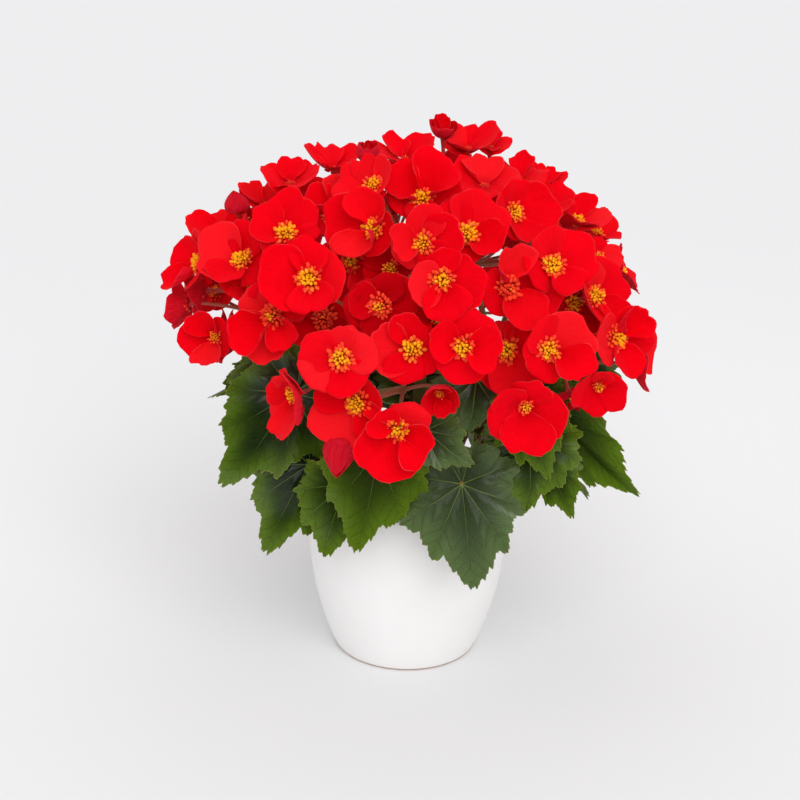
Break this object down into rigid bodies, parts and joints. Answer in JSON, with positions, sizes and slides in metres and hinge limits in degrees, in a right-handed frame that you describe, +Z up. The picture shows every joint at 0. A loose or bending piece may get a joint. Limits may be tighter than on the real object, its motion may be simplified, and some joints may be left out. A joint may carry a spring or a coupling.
{
  "type": "potted begonia",
  "caption": "Potted begonia houseplant: a broad dome of scarlet single flowers over toothed lobed leaves, in a growing pot of soil inside a plain round white cachepot.",
  "frame": {"origin": "centre of the cachepot's flat underside", "axes": "+Z up along the pot's axis, -Y towards the show side, +X to the right as the show side is seen"},
  "size_m": [0.3351, 0.302, 0.3779],
  "materials": {
    "pot_glaze": "smooth satin white glaze",
    "grower_plastic": "thin black moulded plastic",
    "peat": "dark crumbly peat with pale perlite grains",
    "stem_green": "fleshy green to reddish-brown stems",
    "leaf_green": "glossy deep green blades with lighter veins and reddish-tan edges",
    "petal_scarlet": "velvety scarlet petals with golden stamens on salmon-pink stalks"
  },
  "bodies": {
    "root": {"cachepot": "pot_glaze", "grower_pot": "grower_plastic", "potting_soil": "peat", "stem_1": "stem_green", "stem_2": "stem_green", "stem_3": "stem_green", "stem_4": "stem_green", "stem_5": "stem_green", "bloom_cluster_01": "petal_scarlet", "bloom_cluster_02": "petal_scarlet", "bloom_cluster_03": "petal_scarlet", "bloom_cluster_04": "petal_scarlet", "bloom_cluster_05": "petal_scarlet", "bloom_cluster_06": "petal_scarlet", "bloom_cluster_07": "petal_scarlet", "bloom_cluster_08": "petal_scarlet", "bloom_cluster_09": "petal_scarlet", "bloom_cluster_10": "petal_scarlet", "bloom_cluster_11": "petal_scarlet", "bloom_cluster_12": "petal_scarlet", "bloom_cluster_13": "petal_scarlet", "bloom_cluster_14": "petal_scarlet", "bloom_cluster_15": "petal_scarlet", "bloom_cluster_16": "petal_scarlet", "leaf_01": "leaf_green", "leaf_02": "leaf_green", "leaf_03": "leaf_green", "leaf_04": "leaf_green", "leaf_05": "leaf_green", "leaf_06": "leaf_green", "leaf_07": "leaf_green", "leaf_08": "leaf_green", "leaf_09": "leaf_green", "leaf_10": "leaf_green", "leaf_11": "leaf_green", "leaf_12": "leaf_green", "leaf_13": "leaf_green", "leaf_14": "leaf_green", "leaf_15": "leaf_green", "leaf_16": "leaf_green", "leaf_17": "leaf_green", "leaf_18": "leaf_green", "leaf_19": "leaf_green", "leaf_20": "leaf_green", "leaf_21": "leaf_green", "leaf_22": "leaf_green", "leaf_23": "leaf_green", "leaf_24": "leaf_green", "leaf_25": "leaf_green", "leaf_26": "leaf_green", "leaf_27": "leaf_green", "leaf_28": "leaf_green", "leaf_29": "leaf_green", "leaf_30": "leaf_green", "leaf_31": "leaf_green", "leaf_32": "leaf_green", "leaf_33": "leaf_green"}
  },
  "joints": []
}
